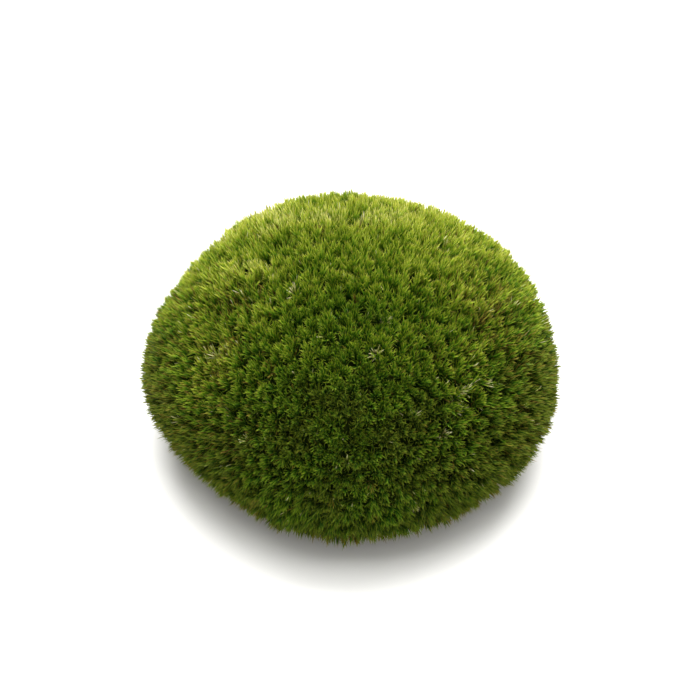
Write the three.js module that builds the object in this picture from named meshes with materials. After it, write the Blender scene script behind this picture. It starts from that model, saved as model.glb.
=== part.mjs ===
// Cushion moss: one bun of tightly packed upright shoots, picked whole, with the brown mat of dead
// stems and root felt that it stands on. Millimetres, +Z up. The origin is the middle of the bun on the
// surface that it rests on, and +X runs along its longer side.
import * as THREE from "three";
import { ConvexHull } from "three/addons/math/ConvexHull.js";

// The bun, over its leaf tips
const bunLength = 142;
const bunWidth = 137;
const bunHeight = 82;
const widestHeight = 27; // above here it is a dome, and below it curls in
const unevenness = 0.012; // share that each of three long waves swells it by, at most

// Leaves and shoots
const leafRise = 7.2; // how far a leaf tip stands out of the packed stems
const leafRiseSpread = 1.8;
const leafPoints = 1840; // points of the stem surface, with two leaves to each
const leafJitter = 0.012; // radians that each is moved by at random
const shootCount = 640;
const shootReach = 4.1; // half the space between two shoots
const shootJitter = 0.02;
const drawnIn = 0.55; // share of a leaf's way to the middle of its shoot
const sunkBetween = 2.3; // how far the packed stems dip between two shoots
const combed = 0.9; // how far the leaf tips lean over together
const droop = 1.3; // and how far the lowest ones hang

// The brown mat
const matHeight = 7.5;
const matGap = 0.3; // between the mat and the green stems above it
const matReach = 0.985; // share of the green rim's reach that the mat's side keeps within
const matTopReach = 0.965;
const matEdge = 1.2; // height of the side between the level top and the rounded corner
const matPoints = 470;
const matRaggedness = 0.025; // share of its reach, and radians of turn, that a point moves at random
const matUnderside = 2.3; // height of the uneven underside, before its fibres
const matUnevenness = 1.3;
const lumpShare = 0.6; // of that, in broad lumps rather than from point to point
const shortestFibre = 0.5;
const longestFibre = 2.7;
const fibreLean = 1.3;
const fibreClearance = 0.35; // how far the fibres stay off the surface that the bun rests on
const restingReach = 13; // the flat spot under the middle that the bun rests on
const restingSlope = 4; // how far round it the underside takes to come down to it
const restingCorners = 6;

const rimPoints = 66; // round the level underside of the green part, and round the mat's level top
const goldenAngle = Math.PI * (3 - Math.sqrt(5));
const fullTurn = 2 * Math.PI;

// Waves across the bun: the radians that each runs through in a millimetre of x, y and z, and its start
const swellWaves = [
  { run: new THREE.Vector3(0.075, 0, 0.031), start: 1.3 },
  { run: new THREE.Vector3(-0.04, 0.068, 0), start: 5.8 },
  { run: new THREE.Vector3(-0.03, 0.052, 0.09), start: 3.7 },
];
const leanAlong = { run: new THREE.Vector3(0, 0.07, 0.05), start: 1.1 };
const leanAcross = { run: new THREE.Vector3(0.06, 0, -0.05), start: 0.4 };
const lumpAlong = { run: new THREE.Vector3(0.21, 0, 0), start: 0.9 };
const lumpAcross = { run: new THREE.Vector3(0, 0.24, 0), start: 2.1 };

// The packed stems fill an ellipsoid, deep above its widest height and shallower below, cut off level.
const stems = {
  length: bunLength / 2 - leafRise,
  width: bunWidth / 2 - leafRise,
  up: bunHeight - leafRise - widestHeight,
  down: 40,
  floor: matHeight + matGap,
};
const rimAngle = Math.acos((stems.floor - widestHeight) / stems.down);
const rimReach = stems.length * Math.sin(rimAngle);

// A seeded generator of numbers from 0 to 1, so that every build is the same.
function seeded(seed) {
  let state = seed >>> 0;
  return () => {
    state = (state + 0x6d2b79f5) >>> 0;
    let mixed = Math.imul(state ^ (state >>> 15), 1 | state);
    mixed = (mixed + Math.imul(mixed ^ (mixed >>> 7), 61 | mixed)) ^ mixed;
    return ((mixed ^ (mixed >>> 14)) >>> 0) / 4294967296;
  };
}

// A number between minus one half and one half.
function spread(random) {
  return random() - 0.5;
}

function wave({ run, start }, place) {
  return Math.sin(run.dot(place) + start);
}

// A point of the stem surface, by its angle from the top and its turn round the middle. The waves swell
// the bun softly, more in some places than in others, but leave its underside level.
function stemPoint(angle, turn) {
  const depth = angle < Math.PI / 2 ? stems.up : stems.down;
  const place = new THREE.Vector3(
    stems.length * Math.sin(angle) * Math.cos(turn),
    stems.width * Math.sin(angle) * Math.sin(turn),
    widestHeight + depth * Math.cos(angle),
  );
  const swell = 1 + unevenness * swellWaves.reduce((sum, each) => sum + wave(each, place), 0);
  const overFloor = Math.max(place.z - stems.floor, 0);
  return new THREE.Vector3(place.x * swell, place.y * swell, stems.floor + overFloor * swell);
}

// The direction straight out of the stem surface, from the ellipsoid's slope.
function outwards(point) {
  const depth = point.z > widestHeight ? stems.up : stems.down;
  return new THREE.Vector3(
    point.x / stems.length ** 2,
    point.y / stems.width ** 2,
    (point.z - widestHeight) / depth ** 2,
  ).normalize();
}

// Angles from the top that share the stem surface out in equal bands, found by adding up thin rings.
function evenAngles(count) {
  const thinRings = 400;
  const area = [0];
  for (let i = 0; i < thinRings; i++) {
    const a = stemPoint((rimAngle * i) / thinRings, 0);
    const b = stemPoint((rimAngle * (i + 1)) / thinRings, 0);
    area.push(area[i] + ((a.x + b.x) / 2) * a.distanceTo(b));
  }
  const angles = [];
  let ring = 0;
  for (let k = 0; k < count; k++) {
    const wanted = ((k + 0.5) / count) * area[thinRings];
    while (area[ring + 1] < wanted) {
      ring++;
    }
    const part = (wanted - area[ring]) / (area[ring + 1] - area[ring]);
    angles.push((rimAngle * (ring + part)) / thinRings);
  }
  return angles;
}

// Points in a golden spiral from the top down to the rim, each moved a little at random.
function stemSpiral(count, jitter, random) {
  return evenAngles(count).map((angle, k) => {
    const aside = (jitter * spread(random)) / Math.max(Math.sin(angle), jitter);
    const down = Math.min(Math.max(angle + jitter * spread(random), 0), rimAngle);
    return stemPoint(down, k * goldenAngle + aside);
  });
}

// The closed skin of triangles that joins points spread round a middle, from their directions.
function skin(directions) {
  const ends = directions.map((direction, index) => Object.assign(direction.normalize(), { index }));
  return new ConvexHull().setFromPoints(ends).faces.map((face) => {
    const edges = [face.edge, face.edge.next, face.edge.next.next];
    return edges.map((edge) => edge.head().point.index);
  });
}

function middleOf(points, triangle) {
  const sum = new THREE.Vector3();
  for (const index of triangle) {
    sum.add(points[index]);
  }
  return sum.divideScalar(triangle.length);
}

// Replaces a triangle by a three-sided point that stands on it.
function raise(points, triangles, [a, b, c], tip) {
  const top = points.push(tip) - 1;
  triangles.push([a, b, top], [b, c, top], [c, a, top]);
}

function nearest(point, others) {
  let best = others[0];
  for (const other of others) {
    if (point.distanceToSquared(other) < point.distanceToSquared(best)) {
      best = other;
    }
  }
  return best;
}

function geometryOf(points, triangles) {
  const corners = [];
  for (const triangle of triangles) {
    for (const index of triangle) {
      corners.push(...points[index].toArray());
    }
  }
  const geometry = new THREE.BufferGeometry();
  geometry.setAttribute("position", new THREE.Float32BufferAttribute(corners, 3));
  geometry.computeVertexNormals();
  return geometry;
}

// The tip of the leaf that stands on a foot: out of the stems, drawn in to the middle of its shoot,
// leaning over with its neighbours, and hanging a little where it is low on the bun.
function leafTip(foot, shoot, random) {
  const out = outwards(foot);
  const low = THREE.MathUtils.smoothstep(widestHeight - foot.z, 0, widestHeight - stems.floor);
  const aside = shoot.clone().sub(foot).multiplyScalar(drawnIn);
  aside.x += combed * wave(leanAlong, foot);
  aside.y += combed * wave(leanAcross, foot);
  aside.z -= droop * low;
  aside.addScaledVector(out, -aside.dot(out));
  const rise = leafRise + leafRiseSpread * (spread(random) - low);
  return foot.clone().addScaledVector(out, rise).add(aside);
}

// The living shoots: leaf tips in tufts all over the dome, on a smaller body of packed stems.
function greenShoots() {
  const random = seeded(11);
  const shoots = stemSpiral(shootCount, shootJitter, random);
  const leafed = stemSpiral(leafPoints, leafJitter, random)
    .filter((point) => point.z > stems.floor + sunkBetween);

  // The level underside needs few points: its rim, and one in the middle
  const points = [...leafed];
  for (let k = 0; k < rimPoints; k++) {
    points.push(stemPoint(rimAngle, (fullTurn * k) / rimPoints));
  }
  points.push(new THREE.Vector3(0, 0, stems.floor));
  const middle = new THREE.Vector3(0, 0, widestHeight);
  const faces = skin(points.map((point) => point.clone().sub(middle)));

  leafed.forEach((point, index) => {
    const away = Math.min(point.distanceTo(nearest(point, shoots)) / shootReach, 1);
    points[index] = point.clone().addScaledVector(outwards(point), -sunkBetween * away);
  });

  const triangles = [];
  for (const face of faces) {
    if (face.every((index) => index >= leafed.length)) {
      triangles.push(face);
      continue;
    }
    const foot = middleOf(points, face);
    raise(points, triangles, face, leafTip(foot, nearest(foot, shoots), random));
  }
  return geometryOf(points, triangles);
}

// A point of the mat's side or underside: reach is 1 at the rim, and turn goes round the middle. The rim
// keeps within that of the green stems. The sixth power lets the corner from the rim to the lumpy
// underside be a short round one.
function matPoint(reach, turn, random) {
  const place = stemPoint(rimAngle, turn).multiplyScalar(reach * matReach);
  const rounded = Math.sqrt(Math.max(1 - reach ** 6, 0));
  const lump = lumpShare * wave(lumpAlong, place) * wave(lumpAcross, place);
  const underside = matUnderside + matUnevenness * (lump + spread(random));
  const side = matHeight - matEdge;
  return place.setZ(side + (underside - side) * rounded);
}

// The skin needs a direction for every point. A flat disc's points are spread over the lower half of a
// ball, equal areas staying equal, so that reach 1, the disc's edge, comes to lie on the ball's equator.
function underDirection(reach, turn) {
  const angle = Math.PI - 2 * Math.asin(reach * Math.SQRT1_2);
  return new THREE.Vector3(
    Math.sin(angle) * Math.cos(turn),
    Math.sin(angle) * Math.sin(turn),
    Math.cos(angle),
  );
}

// The brown mat: stem ends and root felt that stick out as short fibres, but for a flat resting spot.
function brownMat() {
  const random = seeded(5);
  const points = [];
  const directions = [];
  const add = (point, direction) => {
    points.push(point);
    directions.push(direction);
  };

  // The level top under the green stems, the directions of its edge a little above the equator
  const overEquator = 0.09;
  add(new THREE.Vector3(0, 0, matHeight), new THREE.Vector3(0, 0, 1));
  for (let k = 0; k < rimPoints; k++) {
    const turn = (fullTurn * (k + 0.5)) / rimPoints;
    const edge = stemPoint(rimAngle, turn).multiplyScalar(matTopReach).setZ(matHeight);
    add(edge, underDirection(1, turn).setZ(overEquator));
  }

  // The rough rest of it, in a golden spiral from the rim to the resting spot
  const restingShare = (restingReach + restingSlope) / rimReach;
  for (let k = 0; k < matPoints; k++) {
    const inwards = (k + 0.5) / matPoints;
    const ragged = 1 - matRaggedness * random();
    const reach = ragged * Math.sqrt(1 - inwards * (1 - restingShare ** 2));
    const turn = k * goldenAngle + (matRaggedness * spread(random)) / reach;
    add(matPoint(reach, turn, random), underDirection(reach, turn));
  }

  // The resting spot
  const restingFrom = points.length;
  for (let k = 0; k < restingCorners; k++) {
    const turn = (fullTurn * k) / restingCorners;
    const spot = new THREE.Vector3(restingReach * Math.cos(turn), restingReach * Math.sin(turn), 0);
    add(spot, underDirection(restingReach / rimReach, turn));
  }

  const triangles = [];
  for (const face of skin(directions)) {
    const level = face.every((index) => index <= rimPoints);
    const resting = face.some((index) => index >= restingFrom);
    if (level || resting) {
      triangles.push(face);
      continue;
    }
    const foot = middleOf(points, face);
    const atRim = THREE.MathUtils.smoothstep(foot.z, matUnderside, matHeight);
    const out = new THREE.Vector3(foot.x, foot.y, 0).setLength(atRim).setZ(atRim - 1);
    const length = shortestFibre + (longestFibre - shortestFibre) * random();
    const tip = foot.clone().addScaledVector(out, length);
    tip.x += fibreLean * spread(random);
    tip.y += fibreLean * spread(random);
    tip.z = Math.max(tip.z, fibreClearance);
    raise(points, triangles, face, tip);
  }
  return geometryOf(points, triangles);
}

const bun = new THREE.Group();

const shoots = new THREE.Mesh(
  greenShoots(),
  new THREE.MeshStandardMaterial({ color: 0x6f9428, roughness: 0.8, metalness: 0 }),
);
shoots.name = "green_shoots";
bun.add(shoots);

const mat = new THREE.Mesh(
  brownMat(),
  new THREE.MeshStandardMaterial({ color: 0x4a3722, roughness: 0.95, metalness: 0 }),
);
mat.name = "brown_mat";
bun.add(mat);

// The leaf tips end where they will, so the bun is moved until its outline is centred on the origin.
const outline = new THREE.Box3().setFromObject(bun);
const centre = outline.getCenter(new THREE.Vector3());
bun.position.set(-centre.x, -centre.y, 0);

export default bun;
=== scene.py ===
# %% [markdown]
# # A bun of cushion moss
#
# Cushion moss grows as thousands of upright shoots, packed side by side until they make one dome. All
# that is seen of each shoot is its head: a tuft of narrow pointed leaves, yellow-green where the light
# falls and dark green in the gaps. Below the living tips the stems are brown, and a picked bun ends
# underneath in a mat of dead stems and root felt.
#
# This scene builds that, leaf by leaf. Lengths are worked out in millimetres, as one would measure the
# moss, and are turned to metres when they go into a mesh.

import bpy
import numpy as np
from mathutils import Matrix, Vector


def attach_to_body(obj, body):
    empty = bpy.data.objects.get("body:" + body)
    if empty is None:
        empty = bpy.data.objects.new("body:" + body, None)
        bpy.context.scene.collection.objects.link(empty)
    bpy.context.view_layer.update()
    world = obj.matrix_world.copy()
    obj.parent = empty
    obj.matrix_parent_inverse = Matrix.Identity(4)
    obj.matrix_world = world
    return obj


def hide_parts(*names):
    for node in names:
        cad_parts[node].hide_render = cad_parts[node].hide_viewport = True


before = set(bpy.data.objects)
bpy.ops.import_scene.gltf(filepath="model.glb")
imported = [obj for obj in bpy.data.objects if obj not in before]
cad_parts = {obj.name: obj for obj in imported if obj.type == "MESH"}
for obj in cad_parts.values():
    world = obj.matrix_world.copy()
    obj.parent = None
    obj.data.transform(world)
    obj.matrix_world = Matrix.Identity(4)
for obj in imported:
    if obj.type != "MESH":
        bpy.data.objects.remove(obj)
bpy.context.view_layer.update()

# %% [markdown]
# ## Where the camera stands
#
# The moss is looked down on at about 43 degrees, from three quarters of a metre away. At that distance
# the dome's far side is seen a little smaller than its near side. A long lens keeps that perspective and
# fills the frame, where a step closer would change it.

# %% Camera
MM = 0.001
LOOK_DOWN = np.radians(43)
DISTANCE = 725 * MM
LENS = 112.0
AIM = np.array([0.0, 0.0, 36.0]) * MM
NEAREST_SEEN = 10 * MM

camera_data = bpy.data.cameras.new("camera")
camera_data.lens = LENS
camera_data.clip_start = NEAREST_SEEN
camera = bpy.data.objects.new("camera", camera_data)
camera.location = AIM + DISTANCE * np.array([0, -np.cos(LOOK_DOWN), np.sin(LOOK_DOWN)])
camera.rotation_euler = (np.pi / 2 - LOOK_DOWN, 0, 0)
bpy.context.scene.collection.objects.link(camera)
bpy.context.scene.camera = camera
print("the camera is", round(camera.location.z, 3), "m above the floor")

# %% [markdown]
# ## The dome's shape
#
# A real bun is close to an ellipsoid, deep above its widest height and shallower below it, where the
# sides curl in. It could be sculpted, but a formula keeps it exact and lets every shoot be placed on it.
# Three long sine waves swell it a little here and there, because moss grows faster where it is damp.
#
# The formula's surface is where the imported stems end. The living leaves rise from it.

# %% Sizes of the dome, in millimetres
BUN_LENGTH, BUN_WIDTH, BUN_HEIGHT = 142.0, 137.0, 82.0
WIDEST = 27.0
LEAF_RISE = 7.2
LENGTH = BUN_LENGTH / 2 - LEAF_RISE
WIDTH = BUN_WIDTH / 2 - LEAF_RISE
UP = BUN_HEIGHT - LEAF_RISE - WIDEST
DOWN = 40.0
STEM_FLOOR = 7.8
RIM_ANGLE = np.arccos((STEM_FLOOR - WIDEST) / DOWN)

# A row of the runs says by how many radians a wave goes on for each millimetre along x, y and z.
SWELL_SHARE = 0.012
SWELL_RUN = np.array([[0.075, 0, 0.031], [-0.04, 0.068, 0], [-0.03, 0.052, 0.09]])
SWELL_START = np.array([1.3, 5.8, 3.7])
print("half the dome is", LENGTH, "by", WIDTH, "mm, and it rises", UP, "mm over its widest part")


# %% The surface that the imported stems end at
def unit(vectors):
    """Each vector divided by its own length."""
    return vectors / np.linalg.norm(vectors, axis=-1, keepdims=True)


def swell(place):
    """One, plus a small share of three sines, each of the place times that wave's run, plus its start."""
    return 1 + SWELL_SHARE * np.sin(place @ SWELL_RUN.T + SWELL_START).sum(-1)


def stem_point(angle, turn):
    """The ellipsoid's point at an angle from the top and a turn round it, times the swell there."""
    depth = np.where(angle < np.pi / 2, UP, DOWN)
    across = np.sin(angle)
    place = np.stack(
        [LENGTH * across * np.cos(turn), WIDTH * across * np.sin(turn), WIDEST + depth * np.cos(angle)], -1
    )
    by = swell(place)
    place[..., :2] *= by[..., None]
    place[..., 2] = STEM_FLOOR + np.maximum(place[..., 2] - STEM_FLOOR, 0) * by
    return place


def outwards(place):
    """The ellipsoid's slope: each coordinate over its half-axis squared, made one long."""
    depth = np.where(place[..., 2] > WIDEST, UP, DOWN)
    x, y, z = np.moveaxis(place, -1, 0)
    return unit(np.stack([x / LENGTH**2, y / WIDTH**2, (z - WIDEST) / depth**2], -1))


# The waves push the bun a little to one side. This grid of its tips says by how much to move it back.
RINGS, RING_POINTS = 61, 121
ring_angle, ring_turn = np.meshgrid(
    np.linspace(0, RIM_ANGLE, RINGS), np.linspace(0, 2 * np.pi, RING_POINTS)
)
tips = stem_point(ring_angle, ring_turn)
tips = tips + outwards(tips) * LEAF_RISE
ORIGIN = -(tips.min((0, 1)) + tips.max((0, 1))) / 2 * [1, 1, 0]
print("the leaf tips are", round(float(tips[..., 2].max()), 1), "mm up; moved by", ORIGIN.round(2), "mm")

# %% [markdown]
# ## Putting shapes into Blender
#
# Every piece here is a set of numpy arrays: points, triangles that name three points each, and a pair of
# numbers for every point that its colour is read from. One function turns them into a mesh. It also hides
# the solid of the frame that the piece stands for, and hangs the piece on the body it rides on.

# %% From arrays to a piece
triangles_made = {}


def add_piece(name, node, slot, material, points, triangles, pairs=None, smooth=False):
    """A mesh of the points, moved to the bun's place and turned to metres. The pairs, one for each point,
    go into its UV map."""
    mesh = bpy.data.meshes.new(name)
    mesh.vertices.add(len(points))
    mesh.vertices.foreach_set("co", ((points + ORIGIN) * MM).astype(np.float32).ravel())
    mesh.loops.add(triangles.size)
    mesh.loops.foreach_set("vertex_index", triangles.astype(np.int32).ravel())
    mesh.polygons.add(len(triangles))
    mesh.polygons.foreach_set("loop_start", np.arange(0, triangles.size, 3, dtype=np.int32))
    mesh.polygons.foreach_set("use_smooth", np.full(len(triangles), smooth))
    if pairs is not None:
        layer = mesh.uv_layers.new(name="OFBake")
        layer.data.foreach_set("uv", pairs[triangles.ravel()].astype(np.float32).ravel())
    mesh.materials.append(material)
    mesh.update(calc_edges=True)
    piece = bpy.data.objects.new(name, mesh)
    bpy.context.scene.collection.objects.link(piece)
    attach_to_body(piece, "root")
    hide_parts(node)
    triangles_made[name] = len(triangles)
    print(name, len(triangles), "triangles")


# %% [markdown]
# ## Colours of living leaves
#
# A moss leaf is one cell thick at its edges, so light soaks it and it looks bright and matt, with a faint
# wet gloss. Its tip is the youngest and yellowest part. Its very end is nearly clear, and is painted pale,
# partly for that and partly as painted light shining through it. Its foot is painted dark, as painted
# shade from its neighbours.
#
# Painting a picture for that is one way. Here each leaf instead carries two numbers in its UV map: its
# tone, from brown through green to yellow and straw, and how far along the leaf a point lies. The
# material turns the pair into a colour, so the colours stay sharp however close one looks.

# %% Helpers for materials
# The Mix node has its colour sockets after those for numbers and vectors, under the same names.
MIX_SHARE, MIX_FIRST, MIX_SECOND, MIX_COLOUR = 0, 6, 7, 2


def linear(code):
    """An sRGB hex code as linear red, green, blue and alpha, by the sRGB curve."""
    part = np.array([int(code[i : i + 2], 16) for i in (1, 3, 5)]) / 255
    part = np.where(part > 0.04045, ((part + 0.055) / 1.055) ** 2.4, part / 12.92)
    return (*part.tolist(), 1.0)


def add_node(material, kind, settings, sockets):
    """Adds a node. settings are its options, or the stops of its colour ramp. sockets are values, or the
    outputs of other nodes that feed it."""
    tree = material.node_tree
    node = tree.nodes.new(kind)
    for name, value in settings.items():
        if name == "stops":
            ramp = node.color_ramp.elements
            while len(ramp) < len(value):
                ramp.new(0.5)
            for stop, (position, code) in zip(ramp, value):
                stop.position = position
                stop.color = linear(code)
        else:
            setattr(node, name, value)
    for name, value in sockets.items():
        if isinstance(value, bpy.types.NodeSocket):
            tree.links.new(value, node.inputs[name])
        else:
            node.inputs[name].default_value = value
    return node


def new_material(name):
    """A material of that name with no nodes in it yet."""
    material = bpy.data.materials.new(name)
    material.use_nodes = True
    material.node_tree.nodes.clear()
    return material


print("linear mid green:", [round(part, 3) for part in linear("#507C10")])

# %% Leaf: dark at the foot with painted shade, green along its blade, yellow above, and pale at the end with painted light
# Where each colour starts to cover the one before it, and where it covers it fully, along the leaf.
BLADE_FROM, UPPER_FROM, END_FROM = (0.1, 0.7), (0.5, 0.9), (0.78, 0.97)
# Cells full of water bend light by about 1.4. The low specular level keeps their wet gloss faint.
LEAF_IOR, LEAF_SPECULAR = 1.4, 0.25


def toned_leaf(name, tones, colours, roughness):
    """Four ramps give the foot, blade, upper part and end of a leaf of any tone. Each is laid over the one
    before it, by a smooth step of how far along the leaf a point is."""
    leaf = new_material(name)
    pair = add_node(leaf, "ShaderNodeUVMap", {"uv_map": "OFBake"}, {})
    parts = add_node(leaf, "ShaderNodeSeparateXYZ", {}, {"Vector": pair.outputs["UV"]})
    tone = {"Fac": parts.outputs["X"]}
    ramps = [
        add_node(leaf, "ShaderNodeValToRGB", {"stops": list(zip(tones, codes))}, tone)
        for codes in colours.values()
    ]
    colour = ramps[0].outputs["Color"]
    for ramp, (starts, full) in zip(ramps[1:], (BLADE_FROM, UPPER_FROM, END_FROM)):
        share = add_node(
            leaf,
            "ShaderNodeMapRange",
            {"interpolation_type": "SMOOTHSTEP"},
            {"Value": parts.outputs["Y"], "From Min": starts, "From Max": full},
        )
        both = add_node(
            leaf,
            "ShaderNodeMix",
            {"data_type": "RGBA"},
            {MIX_SHARE: share.outputs["Result"], MIX_FIRST: colour, MIX_SECOND: ramp.outputs["Color"]},
        )
        colour = both.outputs[MIX_COLOUR]
    surface = add_node(
        leaf,
        "ShaderNodeBsdfPrincipled",
        {},
        {
            "Base Color": colour,
            "Roughness": roughness,
            "IOR": LEAF_IOR,
            "Specular IOR Level": LEAF_SPECULAR,
        },
    )
    add_node(leaf, "ShaderNodeOutputMaterial", {}, {"Surface": surface.outputs["BSDF"]})
    print(name, "has", len(leaf.node_tree.nodes), "nodes")
    return leaf


# %% Living leaf: damp and matt, with a soft sheen that never glints
# The tones stand for: brown, ochre, then dull, deep, mid, yellow and palest green, and dry straw.
LEAF_TONES = [0.04, 0.14, 0.24, 0.32, 0.52, 0.72, 0.88, 0.97]
# The foot row is painted shade. The end row is the nearly clear end, paler still with painted light.
LEAF_COLOURS = {
    "foot": ["#2C2010", "#2E2E0C", "#1E3008", "#1A3406", "#2A4A08", "#587618", "#56661E", "#7A744A"],
    "blade": ["#4A3318", "#68661A", "#3A530C", "#325C0A", "#507C10", "#8EAA2A", "#9AB03C", "#BCB27E"],
    "upper": ["#75562A", "#9A8E34", "#778324", "#74901E", "#A0AC28", "#CAC848", "#E2DA84", "#ECE5C0"],
    "end": ["#8A6A38", "#AC9E48", "#8B9231", "#8CA232", "#BCC454", "#DCDA84", "#ECE8B4", "#F0EACC"],
}
living_leaf = toned_leaf("living moss leaf", LEAF_TONES, LEAF_COLOURS, roughness=0.6)

# %% [markdown]
# ## A leaf
#
# The leaf of this moss is a narrow lance, seven times as long as wide, folded along its middle like the
# keel of a boat. It leaves the stem steeply and then curves out. A curve with a thickness would give it
# dozens of faces, and there are over a hundred thousand leaves, so each is the plainest closed shape that
# still has a foot, two edges, a keel and a tip: five points and six triangles.

# %% Leaves as whole arrays
LEAF_FACES = np.array([[1, 2, 4], [2, 3, 4], [3, 1, 4], [2, 1, 0], [3, 2, 0], [1, 3, 0]])
# How far along the leaf its foot, left edge, right edge, keel and tip are coloured.
LEAF_ALONG = np.array([0.03, 0.42, 0.42, 0.36, 0.97])
# The two edges differ a touch in tone, which also keeps the leaf's patch of the map from having no area.
EDGE_TONE = np.array([0, -0.006, 0.006, 0, 0])
WAIST = 0.4
KEEL_SHARE = 0.28
LEAF_BEND, TIP_BEND_SHARE = 0.45, 0.8


def leaves(foot, axis, away, spread, length, width, tone, bend=LEAF_BEND):
    """From each foot a leaf runs along its shoot's axis, turned by the angle spread towards the direction
    away. Its lower part, up to the waist, takes less than that angle and its upper part more, by bend.
    The ring at the waist has its two edges across the leaf and its keel on the outer side."""
    below, beyond = spread * (1 - bend), spread * (1 + bend * TIP_BEND_SHARE)
    lower = np.cos(below)[:, None] * axis + np.sin(below)[:, None] * away
    upper = np.cos(beyond)[:, None] * axis + np.sin(beyond)[:, None] * away
    across = np.cross(away, axis) * (width / 2)[:, None]
    keel = unit(np.cross(lower, across)) * (width * KEEL_SHARE)[:, None]
    middle = foot + lower * (length * WAIST)[:, None]
    tip = middle + upper * (length * (1 - WAIST))[:, None]
    points = np.stack([foot, middle - across, middle + across, middle + keel, tip], 1)
    along = np.broadcast_to(LEAF_ALONG, points.shape[:2])
    return points, np.stack([tone[:, None] + EDGE_TONE, along], -1)


def as_mesh(points, pairs, faces):
    """Joins many equal small shapes: each shape's faces name its own points, counted on from the last."""
    count, each = points.shape[:2]
    triangles = (np.arange(count) * each)[:, None, None] + faces
    return points.reshape(-1, 3), triangles.reshape(-1, 3), pairs.reshape(-1, 2)


print("a leaf has", len(LEAF_FACES), "triangles")

# %% [markdown]
# ## Spreading the shoots
#
# Seen from close by, the heads stand a few millimetres apart and no two rows line up. Random places would
# leave bald spots. A golden spiral spreads them evenly, as it does the seeds of a sunflower, and a small
# random step hides the spiral.
#
# What differs from shoot to shoot changes slowly over a real bun, so it is read from soft noise: a sum of
# sine waves of one length that run in random directions.

# %% Even steps over the surface, and soft noise
THIN_RINGS = 1001
WAVES = 12
# The waves' sum seldom goes beyond this number, so dividing by it leaves it between about -1 and 1.
SUM_REACHES = 3.5


def even_angles(count):
    """Angles from the top that share the surface out in equal bands: thin rings' areas are added up, and
    the sum is read backwards at even steps. Also the whole area."""
    angle = np.linspace(0, RIM_ANGLE, THIN_RINGS)
    ring = stem_point(angle, np.zeros_like(angle))
    slope = np.linalg.norm(np.diff(ring, axis=0), axis=1)
    area = np.concatenate([[0], np.cumsum(slope * (ring[1:, 0] + ring[:-1, 0]) / 2)])
    middles = (np.arange(count) + 0.5) / count * area[-1]
    return np.interp(middles, area, angle), 2 * np.pi * area[-1] * WIDTH / LENGTH


def soft_noise(place, amount, wavelength, seed):
    """Up to about the amount either way: a dozen sine waves of one wavelength, in random directions."""
    random = np.random.default_rng(seed)
    waves = unit(random.normal(size=(WAVES, 3))) * (2 * np.pi / wavelength)
    return amount * (np.sin(place @ waves.T + random.uniform(0, 2 * np.pi, WAVES)).sum(-1) / SUM_REACHES)


print("the dome has about", round(even_angles(1)[1] / 100), "square centimetres of packed stems")

# %% Place the shoots
SHOOTS = 6000
GOLDEN_TURN = np.pi * (3 - np.sqrt(5))
# A random step, in radians. Near the top a turn moves a shoot less, so the turn's step is divided by the
# sine of the angle there, or by the least sine.
JITTER, LEAST_SINE = 0.03, 0.05
random = np.random.default_rng(7)

angle, stem_area = even_angles(SHOOTS)
turn = np.arange(SHOOTS) * GOLDEN_TURN
angle = np.clip(angle + random.uniform(-JITTER, JITTER, SHOOTS), 0, RIM_ANGLE)
turn = turn + random.uniform(-JITTER, JITTER, SHOOTS) / np.maximum(np.sin(angle), LEAST_SINE)
place = stem_point(angle, turn)
out = outwards(place)

LEAN = 0.16
REACH_FOR_LIGHT = np.array([0, 0, 0.32])
axis = unit(out + LEAN * random.normal(size=(SHOOTS, 3)) + REACH_FOR_LIGHT)
spacing = float(np.sqrt(stem_area / SHOOTS * 2 / np.sqrt(3)))
print(SHOOTS, "shoots,", round(spacing, 1), "mm apart")
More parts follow.
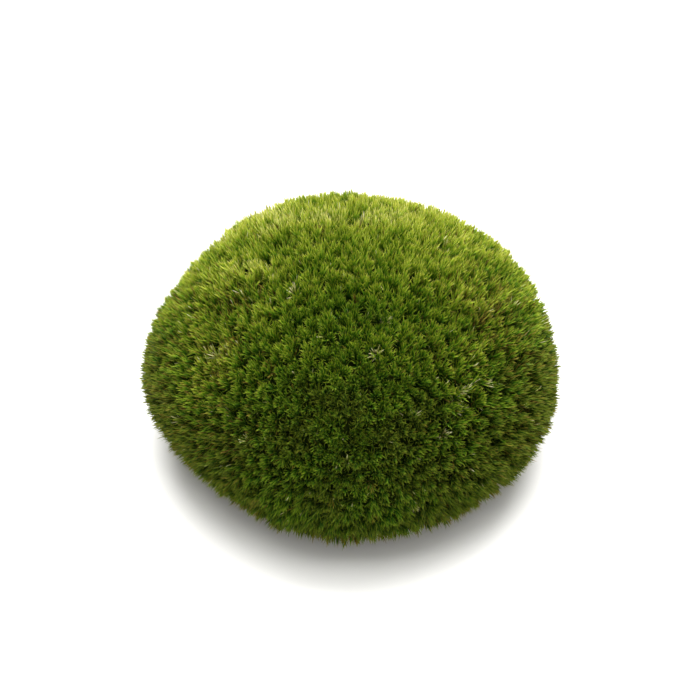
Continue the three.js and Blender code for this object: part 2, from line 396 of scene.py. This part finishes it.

# %% [markdown]
# ## Marks of a grown thing
#
# No bun is even. Towards the top this one has a small gap, and on its left a patch where shoots are dying
# back. A few heads have dried to straw or turned brown. The crown and parts of both flanks are yellower,
# one shoulder and the near side greener. They could be painted, but then the shoots would not follow. The
# two gaps and a patch of the left flank are also lowered in tone, as painted shade.
#
# Each mark is an oval with soft edges on the upper side of the dome, where its share falls off as a bell
# curve, and it changes the shoots' height, tone and share of brown or dry leaves.

# %% Marks on this bun
# Place across and along in mm, half-length and half-width in mm, how far the shoots sink in mm, the
# change of tone, and the shares of brown and of dry leaves.
MARKS = {
    "yellow crown": (1.5, 17.0, 22.0, 7.0, -0.6, 0.1, 0.0, 0.0),
    "greener shoulder": (17.0, 3.0, 19.0, 8.0, 0.2, -0.09, 0.0, 0.0),
    "greener near side": (3.0, -23.5, 12.0, 8.5, 0.7, -0.15, 0.0, 0.0),
    # This gap's lower tone is painted shade in the sunk shoots.
    "gap on the right": (26.5, -16.5, 4.2, 3.4, 1.8, -0.16, 0.05, 0.0),
    "ochre beside it": (20.0, -27.5, 5.5, 5.0, -0.3, 0.13, 0.14, 0.0),
    # Its brown leaves are the moss's own. Its lower tone is painted shade on this flank.
    "dull flank": (-49.0, -10.0, 9.0, 14.0, 0.1, -0.04, 0.14, 0.0),
    "yellow on the left": (-36.5, -3.0, 9.0, 5.5, -0.7, 0.17, 0.03, 0.0),
    "yellow low left": (-42.0, -29.5, 9.0, 9.0, 0.0, 0.25, 0.16, 0.0),
    "yellow low right": (33.0, -34.0, 8.0, 7.0, 0.0, 0.03, 0.08, 0.0),
    # This gap's lower tone is painted shade in the sunk shoots.
    "gap near the top": (-21.0, 8.5, 5.6, 4.6, 3.4, -0.32, 0.08, 0.0),
    "full beside the gap": (-11.0, 7.0, 4.5, 4.5, -0.5, 0.08, 0.0, 0.0),
    "straw-dry head": (-18.2, -14.3, 1.3, 1.3, 0.0, 0.0, 0.0, 0.9),
    "dying patch": (-34.5, -14.0, 7.0, 3.2, 2.2, -0.14, 0.4, 0.04),
    "brown head below it": (-35.5, -25.7, 1.8, 1.8, 0.0, 0.0, 0.7, 0.0),
    "dry stalks": (-40.5, -26.6, 3.0, 1.2, 0.0, 0.0, 0.1, 0.5),
    "fresh tuft": (-45.0, -17.2, 3.6, 3.0, -0.3, 0.12, 0.0, 0.0),
    "yellow on the right": (38.0, -10.0, 8.0, 7.0, -0.3, 0.12, 0.0, 0.0),
    "brown spot": (39.7, -17.6, 2.0, 2.0, 0.4, -0.05, 0.75, 0.0),
    "ochre flank": (44.0, -12.0, 11.0, 12.0, 0.0, -0.04, 0.24, 0.0),
    "first pale fleck": (33.5, -39.2, 1.8, 1.2, 0.0, 0.0, 0.0, 0.5),
    "second pale fleck": (32.8, -42.8, 1.3, 1.0, 0.0, 0.0, 0.0, 0.5),
}
PLAINLY_MARKED = 0.3
mark_place, mark_size, mark_sunk, mark_tone, mark_brown, mark_dry = np.split(
    np.array(list(MARKS.values())), [2, 4, 5, 6, 7], axis=1
)
off = (place[:, None, :2] - mark_place) / mark_size
marked = np.exp(-(off**2).sum(-1)) * (place[:, 2:] > WIDEST)
print(len(MARKS), "marks touch", int((marked.max(1) > PLAINLY_MARKED).sum()), "shoots")

# %% [markdown]
# ## Height and tone of each shoot
#
# Shoots swell and sink in soft clumps of a centimetre or two, and sink deeper in a few hollows. Those on
# the flanks stand more evenly, and the lowest are shorter.
#
# The tone is highest where the dome faces up and back, the side that gets the sun, and falls to deep
# green at the front: partly the yellower growth of a sunny side, partly painted light on top and painted
# shade at the front. The flanks are a little yellower than that high up, and deeper green low down, which
# is painted shade.

# %% Height of each shoot
# Each soft noise has its amount, in mm or in tone, then its wavelength in mm and its seed.
BROAD_CLUMPS, SMALL_CLUMPS, HOLLOWS = (0.45, 17, 3), (0.2, 8, 4), (1.0, 13, 9)
HOLLOW_FROM, HOLLOW_MOST, HOLLOW_SUNK = 0.75, 0.8, 2.2
SHOOT_SINKS, SHOOT_RISES = 0.42, 0.38
FLANK_EVENER, LOW_SHORTER = 0.5, 1.2

flank = out[:, 0] ** 2
low = np.clip((WIDEST - place[:, 2]) / (WIDEST - STEM_FLOOR), 0, 1)
hollow = np.clip(soft_noise(place, *HOLLOWS) - HOLLOW_FROM, 0, HOLLOW_MOST)
clumps = soft_noise(place, *BROAD_CLUMPS) + soft_noise(place, *SMALL_CLUMPS) - HOLLOW_SUNK * hollow
clumps = (clumps + random.uniform(-SHOOT_SINKS, SHOOT_RISES, SHOOTS)) * (1 - FLANK_EVENER * flank)
height = clumps - LOW_SHORTER * low - (marked @ mark_sunk)[:, 0]
print("heights from", height.min().round(1), "to", height.max().round(1), "mm")

# %% Tone of each shoot
SUN = unit(np.array([0.0, 0.6, 0.8]))
TONE_IN_SHADE, TONE_FROM_SUN_AND_PAINTED_LIGHT = 0.28, 0.39
TONE_HIGH_ON_FLANK, TONE_LOW_ON_FLANK_IN_PAINTED_SHADE = 0.16, -0.32
BROAD_TONES, SMALL_TONES = (0.05, 34, 5), (0.07, 14, 6)
SHOOT_VARIES, HOLLOW_PAINTED_SHADE = 0.03, 0.1

# Shoots facing up and back get a higher tone: partly the yellower growth of the sunny side, partly painted
# light on top and painted shade towards the front.
sun_and_painted_light = np.maximum(out @ SUN, 0)
# Low down on the flanks the tone falls further: painted shade.
flank_tone = TONE_HIGH_ON_FLANK + (TONE_LOW_ON_FLANK_IN_PAINTED_SHADE - TONE_HIGH_ON_FLANK) * (1 - out[:, 2])
shoot_tone = TONE_IN_SHADE + TONE_FROM_SUN_AND_PAINTED_LIGHT * sun_and_painted_light + flank_tone * flank
shoot_tone = shoot_tone + soft_noise(place, *BROAD_TONES) + soft_noise(place, *SMALL_TONES)
# Shoots in the hollows are lowered in tone: painted shade in the recesses.
shoot_tone = shoot_tone + SHOOT_VARIES * random.normal(size=SHOOTS) - HOLLOW_PAINTED_SHADE * hollow
shoot_tone = shoot_tone + (marked @ mark_tone)[:, 0]
print("mean tone", shoot_tone.mean().round(2))

# %% [markdown]
# ## Leaves round each shoot
#
# Leaves follow one another up a moss stem at the golden angle too, so that none covers the one below. The
# lowest stand out the most and are the longest, and the youngest, at the top, close to a point. A few
# finished heads could be copied about, but no two real ones are alike, and arrays cost no more.

# %% Where each leaf stands
LEAVES_EACH = 23
FOOT_FROM, FOOT_CLIMB, FOOT_UNEVEN = -2.2, 4.8, 0.3
STEM_RADIUS = 0.35
TURN_UNEVEN = 0.25
# A direction that no shoot points in, to find two directions that lie square to each shoot.
ASIDE = [0.31, 0.83, 0.46]


def each_leaf(values):
    """A value or vector of each shoot, repeated for its leaves."""
    return np.repeat(values, LEAVES_EACH, axis=0)


up = each_leaf(axis)
first = unit(np.cross(up, ASIDE))
second = np.cross(up, first)
round_stem = (np.arange(LEAVES_EACH) * GOLDEN_TURN + random.uniform(0, 2 * np.pi, (SHOOTS, 1))).ravel()
round_stem = round_stem + random.uniform(-TURN_UNEVEN, TURN_UNEVEN, round_stem.size)
away = np.cos(round_stem)[:, None] * first + np.sin(round_stem)[:, None] * second
# How far up its shoot's head a leaf starts, from 0, the lowest, to 1, the topmost.
inner = np.tile((np.arange(LEAVES_EACH) + 0.5) / LEAVES_EACH, SHOOTS)
print(inner.size, "leaves,", LEAVES_EACH, "to a shoot")

# %% How each leaf leans, and its size
# The lowest leaf's angle to the stem and how much of it the topmost has lost, in degrees.
SPREAD, SPREAD_LOST, SPREAD_POWER, SPREAD_UNEVEN = 34, 30, 0.7, 6
LEAF_LENGTH, TOP_SHORTER, LENGTH_VARIES = 5.0, 0.5, (0.8, 1.18)
LEAF_WIDTH, LOWEST_WIDER, TOP_NARROWER = (0.55, 0.85), 1.08, 0.4

spread = SPREAD - SPREAD_LOST * inner**SPREAD_POWER + random.normal(0, SPREAD_UNEVEN, inner.size)
spread = np.radians(spread)
length = (LEAF_LENGTH - TOP_SHORTER * inner) * random.uniform(*LENGTH_VARIES, inner.size)
width = random.uniform(*LEAF_WIDTH, inner.size) * (LOWEST_WIDER - TOP_NARROWER * inner**2)
attach = FOOT_FROM + FOOT_CLIMB * inner + each_leaf(height)
attach = attach + random.uniform(-FOOT_UNEVEN, FOOT_UNEVEN, inner.size)
foot = each_leaf(place) + up * attach[:, None] + away * STEM_RADIUS
print("leaves are", length.mean().round(1), "mm long and", width.mean().round(2), "mm wide")

# %% [markdown]
# ## Green, brown and dry leaves
#
# A leaf has its shoot's tone, a little yellower towards the top of the head. Old leaves turn ochre and
# then brown, most of all near the mat and on the flanks, and in a whole head here and there. Dry ones
# bleach to straw. A material for each kind would split the leaves up, so a leaf's kind is one more tone:
# a random number, set against the share of brown or dry leaves at its place, decides on it.

# %% Which leaves are green, brown or dry
GREENEST, YELLOWEST = 0.25, 0.86
TOP_YELLOWER, LEAF_VARIES = 0.09, 0.03
# One shoot in so many has turned brown, or dried, with this share of its leaves.
BROWN_SHOOTS, BROWN_SHARE, DRY_SHOOTS, DRY_SHARE = 0.006, 0.55, 0.004, 0.6
BROWN_ON_FLANK, BROWN_ANYWHERE, DRY_ANYWHERE = 0.2, 0.004, 0.003
# Below this height, in mm, brown leaves become more common, one in two at the most.
BROWN_BELOW, BROWN_OVER, BROWN_MOST = 15.0, 16, 0.5
BROWN_TONES, OCHRE_ON_FLANK, DRY_TONES = (0.05, 0.17), 0.035, (0.9, 0.97)

leaf_tone = each_leaf(shoot_tone) + TOP_YELLOWER * (inner - 0.5)
leaf_tone = leaf_tone + LEAF_VARIES * random.normal(size=inner.size)
leaf_tone = np.clip(leaf_tone, GREENEST, YELLOWEST)

brown_head = (random.uniform(size=SHOOTS) < BROWN_SHOOTS) * BROWN_SHARE
old = each_leaf(brown_head + (marked @ mark_brown)[:, 0] + BROWN_ON_FLANK * flank)
old = old + np.clip((BROWN_BELOW - foot[:, 2]) / BROWN_OVER, 0, BROWN_MOST) + BROWN_ANYWHERE
browned = random.uniform(size=inner.size) < old
brown_tone = random.uniform(*BROWN_TONES, inner.size) + OCHRE_ON_FLANK * each_leaf(flank)
leaf_tone = np.where(browned, brown_tone, leaf_tone)

dry_head = (random.uniform(size=SHOOTS) < DRY_SHOOTS) * DRY_SHARE
dried = each_leaf(dry_head + (marked @ mark_dry)[:, 0]) + DRY_ANYWHERE
dry = random.uniform(size=inner.size) < dried
leaf_tone = np.where(dry, random.uniform(*DRY_TONES, inner.size), leaf_tone)
print(int(browned.sum()), "leaves are brown and", int(dry.sum()), "dry")

# %% [markdown]
# One object may hold fewer than 200,000 triangles here, and the leaves have many more, so they are
# shared out among five wedges round the middle of the bun. A shoot's leaves all stay in one wedge.

# %% Five wedges of leaves
WEDGES = 5
LOWEST_LEAF = 0.5
points, pairs = leaves(foot, up, away, spread, length, width, leaf_tone)
points[..., 2] = np.maximum(points[..., 2], LOWEST_LEAF)

wedge_of_shoot = np.floor((turn % (2 * np.pi)) / (2 * np.pi) * WEDGES).astype(int)
wedge_of_leaf = each_leaf(wedge_of_shoot)
for wedge in range(WEDGES):
    mine = wedge_of_leaf == wedge
    add_piece(
        f"living_shoots_{wedge + 1}",
        "green_shoots",
        "moss_green",
        living_leaf,
        *as_mesh(points[mine], pairs[mine], LEAF_FACES),
    )
print("the tips reach", round(float(points[..., 2].max()), 1), "mm up")

# %% [markdown]
# ## Between the shoots
#
# Looking down between two heads, one sees their packed stems and older, shaded leaves. They are one dark
# closed surface here, a little under the feet of the lowest leaves, because single stems would never be
# seen. Its darkness is partly the stems' own olive and partly painted shade. It is a grid of angle and
# turn, closed at the top by one point and underneath by another.


# %% The surface under the leaves
def closed_rings(rings, top, bottom):
    """Rings of points from top to bottom, joined by two triangles for each cell, and a fan at each end."""
    count, columns = rings.shape[:2]
    points = np.concatenate([rings.reshape(-1, 3), [top, bottom]])
    here = np.arange(columns)
    beside = (here + 1) % columns
    row = (np.arange(count - 1) * columns)[:, None]
    upper = np.stack([row + here, row + columns + here, row + columns + beside], -1)
    lower = np.stack([row + here, row + columns + beside, row + beside], -1)
    peak, end = len(points) - 2, len(points) - 1
    last = (count - 1) * columns
    crown = np.stack([np.full(columns, peak), here, beside], -1)
    base = np.stack([np.full(columns, end), last + beside, last + here], -1)
    return points, np.concatenate([upper.reshape(-1, 3), lower.reshape(-1, 3), crown, base])


STEM_ROWS, STEM_COLUMNS = 90, 180
SUNK, SUNK_UNEVEN = 2.6, (0.6, 5, 21)
PACKED_LOWEST = STEM_FLOOR - 0.4

grid_angle, grid_turn = np.meshgrid(
    np.linspace(0, RIM_ANGLE, STEM_ROWS + 1)[1:],
    np.linspace(0, 2 * np.pi, STEM_COLUMNS, endpoint=False),
    indexing="ij",
)
stem_grid = stem_point(grid_angle, grid_turn)
sunk = SUNK + soft_noise(stem_grid, *SUNK_UNEVEN)
stem_grid = stem_grid - outwards(stem_grid) * sunk[..., None]
stem_grid[..., 2] = np.maximum(stem_grid[..., 2], PACKED_LOWEST)
peak = stem_point(0.0, 0.0) - [0, 0, SUNK]
packed_points, packed_faces = closed_rings(stem_grid, peak, np.array([0, 0, PACKED_LOWEST]))
print("the stems' surface lies", sunk.min().round(1), "to", sunk.max().round(1), "mm under the dome's")

# %% [markdown]
# ## A dull, mottled finish
#
# Packed stems and root felt are each a mix of many thin things, so there is no pattern to draw, only light
# and dark flecks of a certain size. A picture could be wrapped round them, but noise needs none and has
# no seam. One stem or root hair is too fine to show, so the grain here is coarser than the real one: it
# has the size of the bundles and crumbs that they make together.

# %% A mottled, dull surface
# Where the noise turns to each of the three colours, and how much fine noise is laid over the coarse.
MOTTLE_STOPS = (0.3, 0.53, 0.72)
MOTTLE_DETAIL, MOTTLE_FINE_SHARE = 4.0, 0.62
RELIEF_STRENGTH, DULL_SPECULAR = 0.7, 0.1


def mottled(name, codes, grain, height, roughness):
    """Noise with grains of that size in mm, on the piece's own coordinates, chooses between three colours
    and raises the surface by up to height in mm."""
    material = new_material(name)
    where = add_node(material, "ShaderNodeTexCoord", {}, {})
    noise = add_node(
        material,
        "ShaderNodeTexNoise",
        {},
        {
            "Vector": where.outputs["Object"],
            "Scale": 1 / (grain * MM),
            "Detail": MOTTLE_DETAIL,
            "Roughness": MOTTLE_FINE_SHARE,
        },
    )
    colour = add_node(
        material,
        "ShaderNodeValToRGB",
        {"stops": list(zip(MOTTLE_STOPS, codes))},
        {"Fac": noise.outputs["Fac"]},
    )
    relief = add_node(
        material,
        "ShaderNodeBump",
        {},
        {"Height": noise.outputs["Fac"], "Strength": RELIEF_STRENGTH, "Distance": height * MM},
    )
    surface = add_node(
        material,
        "ShaderNodeBsdfPrincipled",
        {},
        {
            "Base Color": colour.outputs["Color"],
            "Roughness": roughness,
            "Specular IOR Level": DULL_SPECULAR,
            "Normal": relief.outputs["Normal"],
        },
    )
    add_node(material, "ShaderNodeOutputMaterial", {}, {"Surface": surface.outputs["BSDF"]})
    print(name, "has grains of", grain, "mm")
    return material


# Stems side by side, each about 0.5 mm thick, in bundles of a few: olive, made darker by painted shade,
# with no shine at all.
packed_stems = mottled(
    "packed moss stems", ["#182406", "#293A0B", "#434016"], grain=2.4, height=0.6, roughness=0.9
)
add_piece(
    "packed_stems", "green_shoots", "moss_green", packed_stems, packed_points, packed_faces, smooth=True
)

# %% [markdown]
# ## The brown mat
#
# The mat under a bun is soft and matted: dead stems run down into it, brown root hairs felt them
# together, and crumbs of leaf mould stay caught in them. A flat disc would be simpler, but it would show
# as a hard edge under the leaves. It is a low lumpy body instead, level only at the small spot that the
# bun rests on, with fibres and stem ends laid over it.

# %% The body of the mat, in millimetres
MAT_HEIGHT, MAT_EDGE, MAT_REACH, MAT_TOP_REACH = 7.4, 1.2, 0.985, 0.98
UNDERSIDE, SPOT, SPOT_SLOPE = 2.3, 13.0, 7.0
LUMP, LUMP_RUN, LUMP_START = 0.75, (0.21, 0.24), (0.9, 2.1)
MAT_UNEVEN = (0.5, 5, 31)


def mat_surface(reach, turn):
    """Out to the green rim times reach, from the middle, 0, to the edge, 1. The height runs from the mat's
    side in a rounded corner, the root of one less the sixth power of reach, to a lumpy underside, which
    drops to the floor at the resting spot by a smooth step."""
    rim = stem_point(np.full_like(turn, RIM_ANGLE), turn)
    place = rim * (reach * MAT_REACH)[..., None]
    rounded = np.sqrt(np.maximum(1 - reach**6, 0))
    lump = np.sin(LUMP_RUN[0] * place[..., 0] + LUMP_START[0])
    lump = lump * np.sin(LUMP_RUN[1] * place[..., 1] + LUMP_START[1])
    under = UNDERSIDE + LUMP * lump + soft_noise(place * [1, 1, 0], *MAT_UNEVEN)
    drop = np.clip((np.hypot(place[..., 0], place[..., 1]) - SPOT) / SPOT_SLOPE, 0, 1)
    under = under * drop * drop * (3 - 2 * drop)
    side = MAT_HEIGHT - MAT_EDGE
    place[..., 2] = np.maximum(side + (under - side) * rounded, 0)
    return place


# Rings crowd together round the corner, over the last tenth or so of the way out, and are even inside it.
MAT_COLUMNS = 200
CORNER_ROWS, CORNER_DEPTH = 16, 0.12
INNER_ROWS, INNER_FROM, INNER_TO = 34, 0.93, 0.03
round_corner = np.sqrt(1 - np.linspace(0, 1, CORNER_ROWS)[:-1] ** 2 * CORNER_DEPTH)
mat_reach, mat_turn = np.meshgrid(
    np.concatenate([round_corner, np.linspace(INNER_FROM, INNER_TO, INNER_ROWS)]),
    np.linspace(0, 2 * np.pi, MAT_COLUMNS, endpoint=False),
    indexing="ij",
)
mat_grid = mat_surface(mat_reach, mat_turn)
mat_top = mat_grid[:1] * [MAT_TOP_REACH, MAT_TOP_REACH, 1] + [0, 0, MAT_EDGE]
mat_rings = np.concatenate([mat_top, mat_grid])
mat_points, mat_faces = closed_rings(mat_rings, np.array([0, 0, MAT_HEIGHT]), np.zeros(3))

# Felted root hairs and crumbs of leaf mould: earthy, crumbly and quite without gloss.
root_felt = mottled(
    "root felt and leaf mould", ["#1E140B", "#3B2A19", "#5B4429"], grain=3.8, height=0.8, roughness=0.95
)
add_piece("mat_body", "brown_mat", "moss_brown", root_felt, mat_points, mat_faces, smooth=True)

# %% [markdown]
# Fibres hide the body's smooth skin. They have the leaf's own shape, only thinner and nearly straight,
# and lie almost flat, pointing anywhere. A third of them are kept for the edge, which shows.

# %% Dead stem: brown, dry and without gloss, paler where it has frayed
DEAD_TONES = [0.04, 0.3, 0.6, 0.97]
DEAD_COLOURS = {
    "foot": ["#1D130A", "#2E2012", "#43301B", "#6B5836"],
    "blade": ["#2C1D10", "#45301B", "#604728", "#8A7248"],
    "upper": ["#3A2614", "#5A3F22", "#7A5C34", "#A38A58"],
    "end": ["#3A2614", "#5A3F22", "#7A5C34", "#A38A58"],
}
dead_stem = toned_leaf("dead moss stem", DEAD_TONES, DEAD_COLOURS, roughness=0.8)

# %% Fibres and stem ends, in millimetres
FIBRES, EDGE_FIBRES = 9000, 3000
# Square roots of even numbers from 0.06 to 1 spread the fibres evenly over a round, all but its middle.
INNERMOST_SQUARED, EDGE_FROM = 0.06, 0.93
FIBRE_LENGTH, FIBRE_WIDTH = (2.0, 6.5), (0.22, 0.5)
FIBRE_SPREAD, FIBRE_TONE = (58, 84), (0.05, 0.95)
FIBRE_SUNK, FIBRE_BEND = 0.4, 0.12
LOWEST_FIBRE, HIGHEST_FIBRE = 0.05, 8.5
random = np.random.default_rng(19)

fibre_reach = np.sqrt(random.uniform(INNERMOST_SQUARED, 1, FIBRES))
fibre_reach[:EDGE_FIBRES] = random.uniform(EDGE_FROM, 1, EDGE_FIBRES)
fibre_foot = mat_surface(fibre_reach, random.uniform(0, 2 * np.pi, FIBRES))
edge = np.clip((fibre_foot[:, 2] - UNDERSIDE) / (MAT_HEIGHT - UNDERSIDE), 0, 1)[:, None]
face = unit(unit(fibre_foot * [1, 1, 0]) * edge + np.array([0, 0, -1]) * (1 - edge))
lie = unit(np.cross(face, random.normal(size=(FIBRES, 3))))
fibre_length = random.uniform(*FIBRE_LENGTH, FIBRES)
fibre_points, fibre_pairs = leaves(
    fibre_foot - face * FIBRE_SUNK,
    face,
    lie,
    np.radians(random.uniform(*FIBRE_SPREAD, FIBRES)),
    fibre_length,
    random.uniform(*FIBRE_WIDTH, FIBRES),
    random.uniform(*FIBRE_TONE, FIBRES),
    bend=FIBRE_BEND,
)
fibre_points[..., 2] = np.clip(fibre_points[..., 2], LOWEST_FIBRE, HIGHEST_FIBRE)
fibre_mesh = as_mesh(fibre_points, fibre_pairs, LEAF_FACES)
add_piece("root_fibres", "brown_mat", "moss_brown", dead_stem, *fibre_mesh)

# %% [markdown]
# ## Floor and light
#
# A pale floor and a large soft light, high up and a little behind the bun, as daylight from a window
# would fall. It brightens the leaf tips on top and along the far rim, and leaves the near side in soft
# shade, which a weak light over the camera opens up. A small lamp would cast hard shadows instead.

# %% Floor
FLOOR_REACH = 3.0
corners = [(x * FLOOR_REACH, y * FLOOR_REACH, 0) for x, y in ((-1, -1), (1, -1), (1, 1), (-1, 1))]
floor_mesh = bpy.data.meshes.new("floor")
floor_mesh.from_pydata(corners, [], [(0, 1, 2, 3)])
floor = bpy.data.objects.new("floor", floor_mesh)
bpy.context.scene.collection.objects.link(floor)

# Uncoated paper: nearly white and matt, so that only the bun's own soft shadow shows on it.
paper = new_material("pale studio paper")
matt = add_node(
    paper, "ShaderNodeBsdfPrincipled", {}, {"Base Color": linear("#F4F3F0"), "Roughness": 0.9}
)
add_node(paper, "ShaderNodeOutputMaterial", {}, {"Surface": matt.outputs["BSDF"]})
floor_mesh.materials.append(paper)
print("the floor is", 2 * FLOOR_REACH, "m wide")

# %% Lights
# Position and side in metres, and watts.
LIGHTS = {
    "window": ((0.06, 0.62, 0.8), 1.2, 26.5),
    "ceiling": ((0.0, 0.0, 1.1), 0.9, 12.0),
    "fill": ((0.2, -0.8, 0.7), 0.8, 2.0),
}
ROOM_STRENGTH = 0.47


def area_light(name, position, side, watts):
    """A square light at a position in metres, turned to face the middle of the bun."""
    data = bpy.data.lights.new(name, "AREA")
    data.size = side
    data.energy = watts
    light = bpy.data.objects.new(name, data)
    light.location = position
    light.rotation_euler = Vector(AIM - np.array(position)).to_track_quat("-Z", "Y").to_euler()
    bpy.context.scene.collection.objects.link(light)
    print(name, "light:", watts, "watts")


for light_name, (position, side, watts) in LIGHTS.items():
    area_light(light_name, position, side, watts)

room = bpy.data.worlds.new("room")
room.use_nodes = True
room.node_tree.nodes["Background"].inputs["Color"].default_value = linear("#FFFFFF")
room.node_tree.nodes["Background"].inputs["Strength"].default_value = ROOM_STRENGTH
bpy.context.scene.world = room
bpy.context.scene.view_settings.view_transform = "Standard"

# %% [markdown]
# ## Measure and finish
#
# The dressed bun should be hardly larger than the solids that it stands for: leaf tips may pass them by a
# millimetre or two. The triangles of all its pieces are counted at the end.

# %% Triangles in all, and the end
print("triangles in all:", sum(triangles_made.values()))
